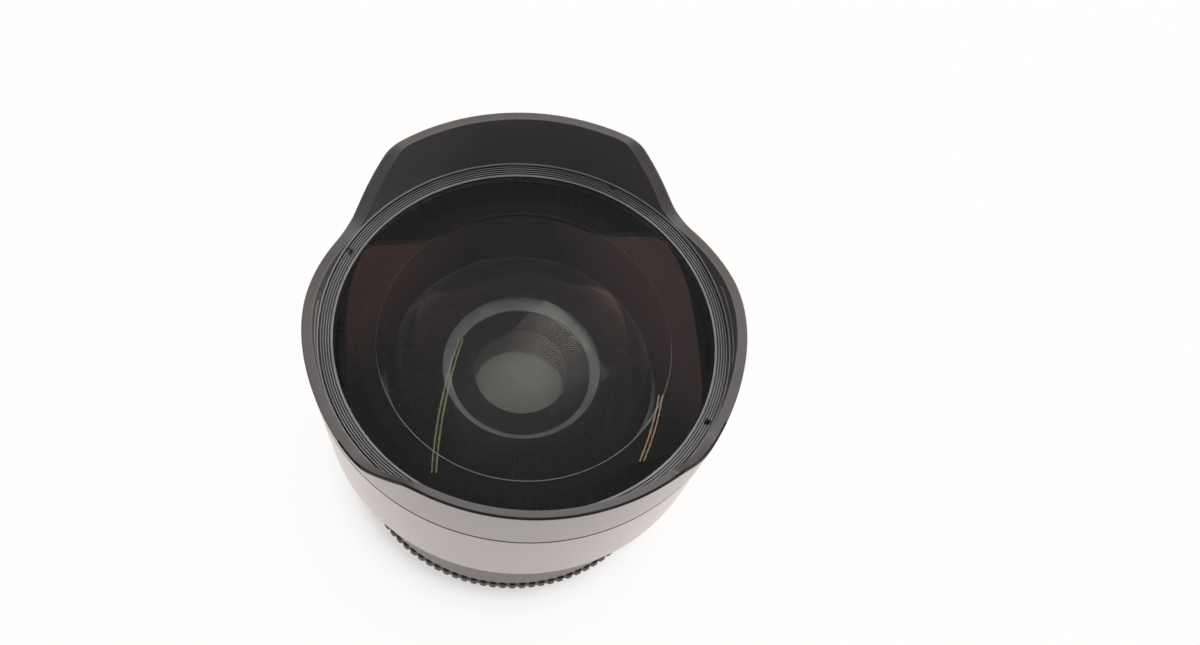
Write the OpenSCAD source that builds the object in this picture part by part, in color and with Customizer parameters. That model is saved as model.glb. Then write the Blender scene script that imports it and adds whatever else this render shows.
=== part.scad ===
// Fisheye conversion lens: a wide petal-hooded head on a narrower neck that
// clips over the nose of a host lens. The optical axis is +Z, the rear rim
// stands on z = 0, and the two long petals lie at +Y and -Y.

/* [Front glass] */
// Diameter of the front glass that shows inside the front ring
glass_d = 67.8; // [61:0.1:75]
// Radius of curvature of the bulging front surface
front_curve_r = 62; // [58:0.5:75]
// Height of the front element's edge, from its seat to the top of the front ring
front_edge_h = 9.1; // [8.2:0.1:10]
// Radius of curvature of the hollow rear surface of the front element
hollow_curve_r = 34; // [30:0.1:40]
// Radius of the rim of that hollow
hollow_rim_r = 23.6; // [21:0.1:26]

/* [Inner glass] */
// Radius of the second element
second_r = 25.6; // [23:0.1:28]
// Height of the second element's edge
second_edge_h = 5.7; // [5:0.1:6.4]
// Depth of the second element's edge below the seat of the front element
second_drop = 3.4; // [3:0.1:3.8]
// Radius of curvature of the second element's front
second_curve_r = 65; // [57:0.5:90]
// Radius of curvature of the second element's hollow rear
second_hollow_r = 45; // [38:0.5:60]
// Radius of the rim of the second element's hollow
second_rim_r = 14.3; // [13.4:0.1:16.4]
// Radius of the cemented pair
pair_r = 12.6; // [11.4:0.1:13.8]
// Height of the upper glass of the cemented pair at its edge
pair_upper_h = 5.6; // [5:0.1:6.4]
// Radius of curvature of the cemented surface
cement_curve_r = 30; // [26:0.5:40]
// Width of the black mask over the edge of the cemented pair
mask_w = 3.6; // [3:0.1:4.2]
// Radius of the rear element
rear_glass_r = 11.6; // [10.4:0.1:12.8]
// Edge height of the rear element
rear_edge_h = 1.8; // [1.6:0.1:2.2]

/* [Front ring] */
// Width of the ring's lip over the edge of the glass
ring_lip_w = 1.0; // [0.8:0.05:1.2]
// Thickness of the lip where it meets the glass
ring_lip_t = 0.29; // [0.25:0.01:0.4]
// Height of the ring above the joint between hood and barrel
ring_rise = 2.2; // [2:0.1:2.6]
// Number of fine grooves turned in the ring's face
ring_grooves = 4; // [2:1:5]
// Number of spanner notches in the ring's outer edge
ring_notches = 4; // [2:1:6]
// Width of a spanner notch
notch_w = 1.2; // [0.8:0.1:1.6]
// Depth of a spanner notch
notch_depth = 1.0; // [0.6:0.1:1.1]
// Angle of the first spanner notch
first_notch = 58.7; // [0:0.1:90]

/* [Hood and barrel] */
// Height of the hood above its joint with the barrel
hood_h = 14.1; // [12.5:0.1:16]
// Thickness of the hood's rim
hood_rim_t = 1.6; // [1.3:0.1:2]
// Width across the flat top of a long petal
petal_w = 65.4; // [60:0.1:68]
// Slope of the long petals' flanks from the level
flank_angle = 53.5; // [50:0.5:60]
// Slope of the side petals from the level
side_slope = 14; // [12:0.2:16]
// Depth of a side petal's peak below the long petals' tips
side_peak_drop = 6.3; // [5.8:0.1:6.6]
// Rounding of the long petals' corners
petal_round = 3; // [2:0.5:7]
// Rounding of the valleys between petals
valley_round = 5; // [4:0.5:6]
// Rounding of the side petals' peaks
side_round = 40; // [30:1:45]
// Height of the conical barrel
barrel_h = 21; // [18.9:0.1:24]
// Outward flare of the barrel and hood from the axis
flare_angle = 6.4; // [5.6:0.1:7]
// Wall of the barrel at its front
barrel_wall = 1.55; // [1.4:0.05:2]
// Angle that a cap-clip groove takes up inside a side petal
clip_angle = 24.6; // [18:0.2:28]
// Height of a cap-clip groove
clip_h = 0.8; // [0.5:0.1:1]
// Depth of a cap-clip groove
clip_depth = 0.7; // [0.5:0.1:0.9]
// Height of a cap-clip groove above the foot of the hood's inner wall
clip_rise = 1.2; // [0.8:0.1:1.5]

/* [Neck and mount] */
// Radius of the neck
neck_r = 30; // [26.5:0.1:32.3]
// Height of the plain band round the neck
band_h = 10.3; // [9.7:0.1:11.5]
// Height of the neck between the band and the flare of the head
collar_h = 4.3; // [3.8:0.1:6]
// Height of the flare from the neck to the barrel
flare_h = 6.2; // [5:0.1:8]
// Wall of the band round the lock ring's sleeve
band_wall = 0.84; // [0.7:0.02:1.2]
// Radius of the socket that centres the host's nose
socket_r = 22.5; // [20:0.1:25]
// Length of that socket's wall
socket_h = 3; // [2.6:0.1:3.6]
// Depth of the bayonet throat under the socket
throat_h = 3.4; // [3.2:0.1:4]
// Wall between the throat and the lock ring
throat_wall = 1.6; // [1.2:0.05:2]
// Thickness of the mount's flange
flange_t = 2; // [1.8:0.1:2.4]
// Depth of a bayonet lug
lug_depth = 2.4; // [1.8:0.1:3]
// Number of bayonet lugs
lug_count = 3; // [3:1:4]
// Angle that each bayonet lug takes up
lug_angle = 26; // [20:1:30]
// Thickness of a bayonet lug
lug_t = 1.2; // [0.9:0.1:1.4]
// Number of mount screws
mount_screw_count = 4; // [3:1:6]

/* [Lock ring] */
// Height of the ribbed part of the lock ring
rib_h = 2; // [1.8:0.1:2.4]
// Number of grip ribs
rib_count = 100; // [80:1:110]
// Depth of the grooves between the ribs
rib_depth = 0.45; // [0.35:0.05:0.6]
// Wall of the lock ring behind the ribs
lock_wall = 1.57; // [1.45:0.01:1.7]
// Wall of the lock ring's hidden sleeve
sleeve_wall = 0.72; // [0.6:0.02:0.8]
// Angle that the lock ring turns to draw the lock pin
lock_turn = 20; // [15:1:24]
// Distance that the lock pin is drawn
pin_lift = 1.5; // [1.2:0.1:1.6]
// Diameter of the lock pin
pin_d = 1.4; // [1.2:0.05:1.5]
// Diameter of the arm that follows the cam slot
arm_d = 1; // [0.8:0.05:1.1]
// Turns of the lock pin's spring
spring_turns = 6; // [5:1:7]
// Wire diameter of the lock pin's spring
spring_wire = 0.26; // [0.2:0.02:0.28]

/* [Fits] */
// Radial clearance between pieces that are fixed together
fit = 0.05; // [0.03:0.01:0.08]
// Clearance between pieces that move
run = 0.08; // [0.06:0.01:0.1]
// Clearance round the cam follower
cam_fit = 0.14; // [0.1:0.01:0.2]

/* [Hidden] */
$fn = 128;

// Cuts reach this far past the faces that they open
past = 1;

// Radii of the head, from the visible glass outwards
cell_wall = 0.85;
skirt_wall = 1.0;
glass_r = glass_d / 2;
front_r = glass_r + ring_lip_w;
cell_in_r = front_r + fit;
cell_r = cell_in_r + cell_wall;
skirt_in_r = cell_r + fit;
skirt_r = skirt_in_r + skirt_wall;
barrel_in_r = skirt_r + fit;
seam_r = barrel_in_r + barrel_wall;
ring_overlap = 0.25;
thread_gap = 0.35;
ring_r = skirt_in_r + ring_overlap;
ring_bore_r = ring_r + thread_gap;

// Radii of the neck and lock ring, from the band inwards, then of the mount's bores
band_in_r = neck_r - band_wall;
sleeve_r = band_in_r - 2 * run;
lock_in_r = sleeve_r - sleeve_wall;
root_r = lock_in_r + lock_wall;
lip_r = (lock_in_r + root_r) / 2;
tube_r = lock_in_r - run;
throat_r = tube_r - throat_wall;
lug_r = throat_r - lug_depth;
screw_flange_w = 3.7;
flange_step = 0.3;
neck_bore_r = socket_r - screw_flange_w;
flange_bore_r = neck_bore_r - flange_step;
baffle_ledge_w = 1;
baffle_ledge_t = 0.4;
baffle_ledge_r = flange_bore_r - baffle_ledge_w;

// Levels of the mount and neck, from the rear rim upwards
lip_t = 0.42;
washer_t = 0.14;
lock_z = lip_t + run;
rib_top_z = lock_z + rib_h;
washer_z = rib_top_z + run;
band_z = washer_z + washer_t;
band_top_z = band_z + band_h;
flange_z = throat_h + socket_h;
neck_z = flange_z + flange_t;
sleeve_overlap = 1.2;
sleeve_top_z = neck_z + sleeve_overlap;
band_step_z = sleeve_top_z + 2 * run;
flare_z = band_top_z + collar_h;

// Levels of the head
flare = tan(flare_angle);
edge_chamfer_r = 0.5;
edge_chamfer_h = 0.7;
edge_r = seam_r - barrel_h * flare;
head_z = flare_z + flare_h;
edge_z = head_z + edge_chamfer_h;
seam_z = edge_z + barrel_h;
tip_z = seam_z + hood_h;
ring_z = seam_z + ring_rise;
seat_z = ring_z - front_edge_h;
gasket_t = 0.2;
cell_seat_z = seat_z - gasket_t;
cell_base_t = 1.8;
ledge_z = cell_seat_z - cell_base_t;
ledge_t = 3;
base_wall = 1.9;
base_rise = 1.15;
neck_step = 3.4;
neck_floor_drop = 0.85;
seal_t = 0.25;
skirt_h = 4;
skirt_z = seam_z - skirt_h;
seam_gap = 0.15;
seam_chamfer = 0.2;
bore_chamfer_h = 0.3;
bore_chamfer_w = 0.25;
hood_ledge_z = ring_z + bore_chamfer_h;
hood_ledge_r = ring_bore_r + bore_chamfer_w;
tip_r = seam_r + hood_h * flare;

// Levels and radii of the lens cells
retainer_w = 1;
retainer_lip_w = 0.6;
second_bore_r = second_r + fit;
retainer_r = second_r + retainer_w;
retainer_in_r = second_r - retainer_lip_w;
second_top_z = cell_seat_z - second_drop;
floor_z = second_top_z - second_edge_h;
floor_t = 2;
floor_low_z = floor_z - floor_t;
tube_wall = 1.8;
cell_tube_r = retainer_r + tube_wall;
pair_bore_r = pair_r + fit;
funnel_w = 2.9;
funnel_h = 1.9;
mask_t = 0.5;
funnel_r = pair_r + funnel_w;
spigot_r = funnel_r + tube_wall;
cell_flange_w = 4;
cell_flange_t = 2.4;
cell_flange_r = spigot_r + cell_flange_w;
rear_wall = 3.4;
rear_tube_r = pair_r + rear_wall;
spigot_top_z = floor_z - 2 * fit;
funnel_z = spigot_top_z - funnel_h;
pair_top_z = funnel_z - mask_t;
pair_joint_z = pair_top_z - pair_upper_h;
stop_t = 0.6;
stop_w = 3.1;
stop_in_r = pair_r - stop_w;
baffle_t = 0.8;
baffle_lap = 0.6;
baffle_z = neck_z - baffle_ledge_t - baffle_t;
rear_air = 0.8;
rear_dome_r = 45;
rear_ring_t = 1.4;
rear_ring_w = 1.8;
rear_end_wall = 1.1;
rear_shoulder_w = 0.8;
rear_bore_r = rear_glass_r + fit;
rear_ring_r = rear_glass_r + rear_ring_w;
rear_end_r = rear_ring_r + rear_end_wall;
rear_shoulder_r = rear_glass_r - rear_shoulder_w;

// Face of the front ring, the funnel, and the slots of the rear retaining ring
groove_w = 0.22;
groove_depth = 0.3;
groove_land = 0.2;
mouth_step = 0.6;
mouth_h = 0.3;
brim_w = 0.5;
dish_curve_r = 60;
dish_border = 1.1;
rear_slot_w = 1.2;
rear_slot_depth = 0.7;
lug_z = 1;
band_chamfer = 0.2;

// Lock pin, its arm and its spring
pin_at_r = (socket_r + tube_r) / 2;
pin_r = pin_d / 2;
wire_r = spring_wire / 2;
arm_r = arm_d / 2;
pin_tip_z = throat_h - pin_lift + fit;
arm_z = neck_z - pin_lift - arm_r - 2 * run;
pin_head_h = 0.4;
pin_head_w = 0.27;
pin_head_gap = 0.5;
pin_head_r = pin_r + pin_head_w;
pin_top_z = neck_z + pin_head_gap + pin_head_h;
spring_len = 4.1;
pocket_r = pin_head_r + run;
pocket_top_z = pin_top_z + spring_len;
arm_tip_r = sleeve_r - fit;
arm_slot_w = arm_d + 2 * run;

// Screws
screw_r = 0.78;
screw_hole_r = screw_r + fit;
screw_head_r = 1.4;
screw_head_h = 1.1;
screw_end_gap = 0.2;
head_hole_r = screw_head_r + 2 * fit;
cell_screw_count = 3;
cell_screw_at_r = (cell_tube_r + cell_in_r) / 2;
ledge_gap = 0.6;
ledge_in_r = cell_tube_r + ledge_gap;
rear_screw_at_r = spigot_r + cell_flange_w / 2;
mount_screw_inset = 2.2;
mount_screw_at_r = socket_r - mount_screw_inset;
mount_screw_grip = 4;
screw_slot_len = 1.8;
screw_slot_w = 0.3;
screw_slot_depth = 0.5;
band_screw_count = 3;
band_screw_angle = 85;
band_screw_r = 0.7;
band_screw_drop = 1.6;
band_screw_bite = 1;
band_screw_z = band_top_z - band_screw_drop;
dot_r = 0.9;
dot_depth = (neck_r - band_in_r) / 2;
dot_z = band_z + band_h / 2;

// Centre height of a ball of radius r whose upper cap has rim radius rim at level z
function cap_centre(r, rim, z) = z - sqrt(r * r - rim * rim);
front_centre_z = cap_centre(front_curve_r, glass_r, ring_z - ring_lip_t);
hollow_centre_z = cap_centre(hollow_curve_r, hollow_rim_r, seat_z);
second_centre_z = cap_centre(second_curve_r, second_r, second_top_z);
second_hollow_z = cap_centre(second_hollow_r, second_rim_r, floor_z);
cement_border = 0.6;
cement_gap = 0.02;
cement_centre_z = cap_centre(cement_curve_r, pair_r - cement_border, pair_joint_z);
lower_curve_r = 50;
lower_edge_h = 3;
lower_centre_z = pair_joint_z - lower_edge_h + sqrt(lower_curve_r * lower_curve_r - pair_r * pair_r);
stop_z = lower_centre_z - sqrt(lower_curve_r * lower_curve_r - stop_in_r * stop_in_r) - stop_t - fit;
rear_centre_z = lower_centre_z - lower_curve_r - rear_air - rear_dome_r;
rear_rim_z = rear_centre_z + sqrt(rear_dome_r * rear_dome_r - rear_glass_r * rear_glass_r);
rear_glass_z = rear_rim_z - rear_edge_h;
rear_end_z = rear_glass_z - rear_ring_t;
rear_shoulder_z = fit + rear_centre_z
    + sqrt(rear_dome_r * rear_dome_r - rear_shoulder_r * rear_shoulder_r);

// Top of the front cell, low enough for the seal and the ring to clear the glass edge
ring_skirt = 0.2;
cell_top_z = front_at(front_r) + fit - ring_skirt - seal_t;

// Level of the front glass, and of the second glass, at radius r
function front_at(r) = front_centre_z + sqrt(front_curve_r * front_curve_r - r * r);
function second_at(r) = second_centre_z + sqrt(second_curve_r * second_curve_r - r * r);

// Outer cone of the barrel and hood at level z
function cone_r(z) = seam_r + (z - seam_z) * flare;

// Arc that rounds corner b of the path a, b, c with radius r, in steps pieces
function unit(v) = v / norm(v);
function rounded(a, b, c, r, steps = 8) =
    let (u = unit(a - b), v = unit(c - b))
    let (half = acos(u * v) / 2, mid = b + unit(u + v) * r / sin(half))
    let (p = b + u * r / tan(half) - mid, q = b + v * r / tan(half) - mid)
    let (from = atan2(p[1], p[0]), swing = atan2(q[1], q[0]) - from)
    let (sweep = swing - 360 * round(swing / 360))
    [for (i = [0 : steps]) mid + r * [cos(from + sweep * i / steps), sin(from + sweep * i / steps)]];

module turned(points) {
    rotate_extrude() polygon(points);
}

// Places its children at count even steps round the axis, at radius r
module around(count, r = 0, from = 0) {
    for (i = [0 : count - 1])
        rotate(from + 360 * i / count) translate([r, 0, 0]) children();
}

// Upright rod between two levels
module rod(r, low, high) {
    translate([0, 0, low]) cylinder(r = r, h = high - low);
}

// Flat ring between two radii and two levels
module washer(in_r, out_r, low, high) {
    turned([[in_r, low], [out_r, low], [out_r, high], [in_r, high]]);
}

// Upright wedge that spans an angle about +X
module wedge(angle, r, low, high) {
    half = angle / 2;
    translate([0, 0, low]) linear_extrude(high - low)
        polygon([[0, 0], [r * cos(half), -r * sin(half)], [r, 0], [r * cos(half), r * sin(half)]]);
}

// Ball whose centre lies on the axis
module ball(r, centre_z) {
    translate([0, 0, centre_z]) sphere(r = r);
}

// Cheese-head screw: head level to level, then its shank the other way
module screw(head_low, head_high, shank_low, shank_high) {
    rod(screw_head_r, head_low, head_high);
    rod(screw_r, shank_low, shank_high);
}

// Outline above the petals' edge, seen along X, with y across and z up
module petal_cut_outline() {
    half_w = petal_w / 2;
    peak = [0, tip_z - side_peak_drop];
    rise = tan(flank_angle);
    drop = tan(side_slope);
    valley_y = (peak[1] - tip_z + rise * half_w) / (rise + drop);
    valley = [valley_y, peak[1] - drop * valley_y];
    corner = [half_w, tip_z];
    side = [tip_r + past, tip_z];
    top = [tip_r + past, tip_z + 3 * past];
    right = concat(
        rounded([-valley[0], valley[1]], peak, valley, side_round),
        rounded(peak, valley, corner, valley_round),
        rounded(valley, corner, side, petal_round),
        [side, top]
    );
    left = [for (i = [len(right) - 1 : -1 : 0]) [-right[i][0], right[i][1]]];
    polygon(concat([for (p = left) if (p[0] < 0) p], [for (p = right) if (p[0] > -0.001) p]));
}

module petal_hood() {
    high = tip_z + past;
    color("#2b2b2d") difference() {
        turned([
            [skirt_in_r, skirt_z], [skirt_r, skirt_z], [skirt_r, seam_z + seam_gap],
            [seam_r - seam_chamfer, seam_z + seam_gap],
            [cone_r(seam_z + seam_gap + seam_chamfer), seam_z + seam_gap + seam_chamfer],
            [cone_r(high), high], [cone_r(high) - hood_rim_t, high],
            [hood_ledge_r, hood_ledge_z], [ring_bore_r, ring_z],
            [ring_bore_r, cell_top_z + seal_t], [skirt_in_r, cell_top_z + seal_t]
        ]);
        rotate([90, 0, 90]) translate([0, 0, -tip_r - past])
            linear_extrude(2 * (tip_r + past)) petal_cut_outline();
        clip_low = hood_ledge_z + clip_rise;
        around(2) intersection() {
            washer(hood_ledge_r - past, hood_ledge_r + clip_depth, clip_low, clip_low + clip_h);
            wedge(clip_angle, tip_r, clip_low - past, clip_low + past + clip_h);
        }
    }
}

module main_barrel() {
    wall_in_r = edge_r - base_wall;
    floor_level = flare_z - neck_floor_drop;
    color("#262628") difference() {
        turned([
            [neck_bore_r, neck_z], [tube_r, neck_z], [tube_r, band_top_z], [neck_r, band_top_z],
            [neck_r, flare_z], [edge_r - edge_chamfer_r, head_z], [edge_r, edge_z],
            [cone_r(seam_z - seam_chamfer), seam_z - seam_chamfer], [seam_r - seam_chamfer, seam_z],
            [barrel_in_r, seam_z], [barrel_in_r, skirt_z], [skirt_in_r, skirt_z],
            [skirt_in_r, ledge_z], [ledge_in_r, ledge_z], [ledge_in_r, ledge_z - ledge_t],
            [wall_in_r, ledge_z - ledge_t], [wall_in_r, head_z + base_rise],
            [neck_r - neck_step, floor_level], [neck_bore_r, floor_level]
        ]);
        around(cell_screw_count, cell_screw_at_r)
            rod(screw_hole_r, ledge_z - ledge_t + screw_end_gap, ledge_z + past);
        around(mount_screw_count, mount_screw_at_r, 45)
            rod(screw_hole_r, neck_z - past, neck_z + mount_screw_grip);
        around(band_screw_count, tube_r - band_screw_bite - fit, band_screw_angle)
            translate([0, 0, band_screw_z]) rotate([0, 90, 0])
                cylinder(r = band_screw_r + fit, h = band_screw_bite + past);
        translate([pin_at_r, 0, 0]) rod(pocket_r, neck_z - past, pocket_top_z);
    }
}

module front_ring() {
    step = (ring_r - glass_r - 2 * groove_land) / ring_grooves;
    grooves = [for (i = [0 : ring_grooves - 1])
        let (r = ring_r - groove_land - i * step)
        each [[r, ring_z], [r, ring_z - groove_depth], [r - groove_w, ring_z - groove_depth],
            [r - groove_w, ring_z]]];
    low = cell_top_z + seal_t;
    color("#303033") difference() {
        turned(concat(
            [[glass_r, ring_z], [glass_r, front_at(glass_r) + fit], [cell_in_r, front_at(front_r) + fit],
                [cell_in_r, low], [ring_r, low], [ring_r, ring_z]],
            grooves
        ));
        around(ring_notches, ring_r, first_notch)
            translate([-notch_depth, -notch_w / 2, low - past])
                cube([2 * notch_depth, notch_w, ring_z - low + 2 * past]);
    }
}

module front_seal() {
    color("#141414") washer(cell_in_r, cell_r, cell_top_z, cell_top_z + seal_t);
}

module front_element() {
    color("#33313c") difference() {
        intersection() {
            rod(front_r, seat_z, front_centre_z + front_curve_r + past);
            ball(front_curve_r, front_centre_z);
        }
        ball(hollow_curve_r, hollow_centre_z);
    }
}

module seat_gasket() {
    color("#101010") washer(retainer_r + 4 * fit, front_r - 2 * fit, cell_seat_z, seat_z);
}

module front_cell() {
    color("#1c1c1e") difference() {
        turned([
            [cell_in_r, cell_top_z], [cell_r, cell_top_z], [cell_r, ledge_z], [cell_tube_r, ledge_z],
            [cell_tube_r, floor_low_z], [spigot_r + fit, floor_low_z], [spigot_r + fit, floor_z],
            [second_bore_r, floor_z], [second_bore_r, second_top_z],
            [retainer_r + fit, second_top_z], [retainer_r + fit, cell_seat_z],
            [cell_in_r, cell_seat_z]
        ]);
        around(cell_screw_count, cell_screw_at_r) {
            rod(screw_hole_r, ledge_z - past, cell_seat_z);
            rod(head_hole_r, cell_seat_z - screw_head_h - fit, cell_seat_z + past);
        }
        around(cell_screw_count, rear_screw_at_r, 60)
            rod(screw_hole_r, floor_low_z - past, floor_z - screw_end_gap);
    }
}

module front_cell_screws() {
    head = cell_seat_z - fit;
    color("#6d6d70") around(cell_screw_count, cell_screw_at_r)
        screw(head - screw_head_h, head, ledge_z - ledge_t + 2 * screw_end_gap, head - screw_head_h);
}

module second_element() {
    color("#2f3a3c") difference() {
        intersection() {
            rod(second_r, floor_z, second_centre_z + second_curve_r + past);
            ball(second_curve_r, second_centre_z);
        }
        ball(second_hollow_r, second_hollow_z);
    }
}

module second_retainer() {
    low = second_top_z + fit;
    color("#161618") turned([
        [retainer_in_r, second_at(retainer_in_r) + fit], [second_bore_r, low], [retainer_r, low],
        [retainer_r, seat_z - fit], [retainer_in_r, seat_z - fit]
    ]);
}

module third_element() {
    dish_rim_r = pair_r - dish_border;
    color("#3a4443") difference() {
        rod(pair_r, pair_joint_z, pair_top_z);
        ball(cement_curve_r, cement_centre_z);
        ball(dish_curve_r, pair_top_z + sqrt(dish_curve_r * dish_curve_r - dish_rim_r * dish_rim_r));
    }
}

module fourth_element() {
    color("#46524f") intersection() {
        rod(pair_r, stop_z, pair_top_z);
        ball(cement_curve_r, cement_centre_z - cement_gap);
        ball(lower_curve_r, lower_centre_z);
    }
}

module pair_mask() {
    color("#0f0f10") washer(pair_r - mask_w, funnel_r, pair_top_z, funnel_z);
}

module pair_retainer() {
    mouth_r = pair_r + mouth_step;
    color("#8a8c92") turned([
        [mouth_r, funnel_z], [funnel_r, funnel_z], [funnel_r, spigot_top_z],
        [funnel_r - brim_w, spigot_top_z], [mouth_r, funnel_z + mouth_h]
    ]);
}

module rear_cell() {
    color("#1c1c1e") difference() {
        turned([
            [funnel_r + fit, spigot_top_z], [spigot_r, spigot_top_z], [spigot_r, floor_low_z],
            [cell_flange_r, floor_low_z], [cell_flange_r, floor_low_z - cell_flange_t],
            [rear_tube_r, floor_low_z - cell_flange_t],
            [rear_tube_r, rear_shoulder_z + rear_tube_r - rear_end_r],
            [rear_end_r, rear_shoulder_z], [rear_end_r, rear_end_z],
            [rear_ring_r + fit, rear_end_z], [rear_ring_r + fit, rear_glass_z],
            [rear_bore_r, rear_glass_z], [rear_bore_r, rear_shoulder_z],
            [rear_shoulder_r, rear_shoulder_z], [rear_shoulder_r, stop_z], [pair_bore_r, stop_z],
            [pair_bore_r, pair_top_z - fit], [funnel_r + fit, pair_top_z - fit]
        ]);
        around(cell_screw_count, rear_screw_at_r, 60)
            rod(screw_hole_r, floor_low_z - cell_flange_t - past, floor_low_z + past);
    }
}

module rear_cell_screws() {
    head = floor_low_z - cell_flange_t;
    color("#6d6d70") around(cell_screw_count, rear_screw_at_r, 60)
        screw(head - screw_head_h, head, head, floor_z - 2 * screw_end_gap);
}

module flare_stop() {
    color("#0d0d0d") washer(stop_in_r, pair_r, stop_z, stop_z + stop_t);
}

module rear_element() {
    color("#3d4a48") intersection() {
        rod(rear_glass_r, rear_glass_z, rear_rim_z + rear_dome_r);
        ball(rear_dome_r, rear_centre_z);
    }
}

module rear_retainer() {
    color("#1a1a1c") difference() {
        washer(rear_glass_r - rear_slot_w, rear_ring_r, rear_end_z + fit, rear_glass_z);
        around(2) translate([0, -rear_slot_w / 2, rear_end_z - past])
            cube([2 * rear_ring_r, rear_slot_w, past + rear_slot_depth]);
    }
}

module rear_baffle() {
    in_r = rear_glass_r - baffle_lap;
    color("#121213") washer(in_r, flange_bore_r - fit, baffle_z, baffle_z + baffle_t);
}

module bayonet_mount() {
    color("#8f9093") difference() {
        union() {
            turned([
                [throat_r, 0], [lip_r, 0], [lip_r, lip_t], [tube_r, lip_t], [tube_r, neck_z],
                [baffle_ledge_r, neck_z], [baffle_ledge_r, baffle_z + baffle_t],
                [flange_bore_r, baffle_z + baffle_t], [flange_bore_r, flange_z],
                [socket_r, flange_z], [socket_r, throat_h], [throat_r, throat_h]
            ]);
            around(lug_count, 0, 180 / lug_count) intersection() {
                washer(lug_r, (throat_r + tube_r) / 2, lug_z, lug_z + lug_t);
                wedge(lug_angle, tube_r + past, 0, throat_h);
            }
        }
        around(mount_screw_count, mount_screw_at_r, 45) {
            rod(screw_hole_r, flange_z - past, neck_z + past);
            rod(head_hole_r, flange_z - past, flange_z + screw_head_h);
        }
        translate([pin_at_r, 0, 0]) rod(pin_r + run, pin_tip_z - run, neck_z + past);
        translate([pin_at_r - run, -arm_slot_w / 2, arm_z - arm_r - run])
            cube([tube_r - pin_at_r + past, arm_slot_w, neck_z - arm_z + arm_r + past]);
    }
}

module mount_screws() {
    head = flange_z + screw_head_h;
    color("#b9babc") around(mount_screw_count, mount_screw_at_r, 45) difference() {
        screw(flange_z + fit, head, head, neck_z + mount_screw_grip - screw_end_gap);
        for (turn = [0, 90]) rotate(turn)
            translate([-screw_slot_len / 2, -screw_slot_w / 2, flange_z - past])
                cube([screw_slot_len, screw_slot_w, past + screw_slot_depth]);
    }
}

module neck_band() {
    color("#232325") difference() {
        turned([
            [band_in_r, band_z], [neck_r - band_chamfer, band_z], [neck_r, band_z + band_chamfer],
            [neck_r, band_top_z], [tube_r + fit, band_top_z], [tube_r + fit, band_step_z],
            [band_in_r, band_step_z]
        ]);
        around(band_screw_count, tube_r, band_screw_angle) translate([0, 0, band_screw_z])
            rotate([0, 90, 0]) cylinder(r = band_screw_r + fit, h = neck_r);
        translate([0, neck_r - dot_depth, dot_z]) rotate([-90, 0, 0])
            cylinder(r = dot_r + fit, h = past);
    }
}

module band_screws() {
    low = tube_r - band_screw_bite;
    color("#3a3a3c") around(band_screw_count, low, band_screw_angle)
        translate([0, 0, band_screw_z]) rotate([0, 90, 0])
            cylinder(r = band_screw_r, h = neck_r - low - screw_end_gap);
}

module index_dot() {
    color("#e8e6e0") translate([0, neck_r - dot_depth, dot_z]) rotate([-90, 0, 0])
        cylinder(r = dot_r, h = dot_depth);
}

module thrust_washer() {
    color("#4a4a48") washer(band_in_r, root_r - fit, washer_z, band_z);
}

// Inclined slot that draws the arm up as the ring turns
module cam_slot() {
    reach_r = (lock_in_r + sleeve_r) / 2;
    across = 2 * reach_r * sin(lock_turn / 2);
    slot_r = arm_r + cam_fit;
    tilt = atan2(pin_lift, across);
    rotate(-lock_turn / 2) translate([lock_in_r - past, 0, arm_z + pin_lift / 2])
        rotate([-tilt, 0, 0]) rotate([0, 90, 0]) {
            run_len = norm([across, pin_lift]);
            for (end = [-0.5, 0.5]) translate([0, end * run_len, 0]) cylinder(r = slot_r, h = 3 * past);
            translate([-slot_r, -run_len / 2, 0]) cube([2 * slot_r, run_len, 3 * past]);
        }
}

module lock_ring() {
    pitch = 360 / rib_count;
    ribs = [for (i = [0 : rib_count - 1]) each [
        for (corner = [[-0.42, 0], [-0.36, 0.7], [-0.22, 1], [0.22, 1], [0.36, 0.7], [0.42, 0]])
            let (a = (i + corner[0]) * pitch, r = root_r + corner[1] * rib_depth)
            [r * cos(a), r * sin(a)]
    ]];
    color("#1d1d1f") difference() {
        union() {
            translate([0, 0, lock_z]) linear_extrude(rib_h) polygon(ribs);
            rod(sleeve_r, lock_z, sleeve_top_z);
        }
        rod(lock_in_r, lock_z - past, sleeve_top_z + past);
        cam_slot();
    }
}

module lock_pin() {
    color("#b5b6b8") union() {
        translate([pin_at_r, 0, 0]) rod(pin_r, pin_tip_z, pin_top_z);
        translate([pin_at_r, 0, 0]) rod(pin_head_r, pin_top_z - pin_head_h, pin_top_z);
        translate([pin_at_r, 0, arm_z]) rotate([0, 90, 0])
            cylinder(r = arm_r, h = arm_tip_r - pin_at_r);
    }
}

// Coil of round wire swept along a helix, with its end loops closed
module lock_spring() {
    coil_r = pin_head_r - wire_r - run;
    low = pin_top_z + wire_r + fit / 2;
    high = pocket_top_z - wire_r - fit / 2;
    per_turn = 8;
    sides = 6;
    rings = spring_turns * per_turn;
    climb = (high - low) / rings;
    points = [for (i = [0 : rings], j = [0 : sides - 1])
        let (a = 360 * i / per_turn, b = 360 * j / sides, r = coil_r + wire_r * cos(b))
        [r * cos(a), r * sin(a), low + i * climb + wire_r * sin(b)]];
    walls = [for (i = [0 : rings - 1], j = [0 : sides - 1])
        let (p = i * sides + j, q = i * sides + (j + 1) % sides)
        each [[p, q, q + sides], [p, q + sides, p + sides]]];
    caps = [for (j = [1 : sides - 2])
        each [[0, j + 1, j], [rings * sides, rings * sides + j, rings * sides + j + 1]]];
    color("#c2c3c4") translate([pin_at_r, 0, 0]) polyhedron(points, concat(walls, caps));
}

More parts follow.
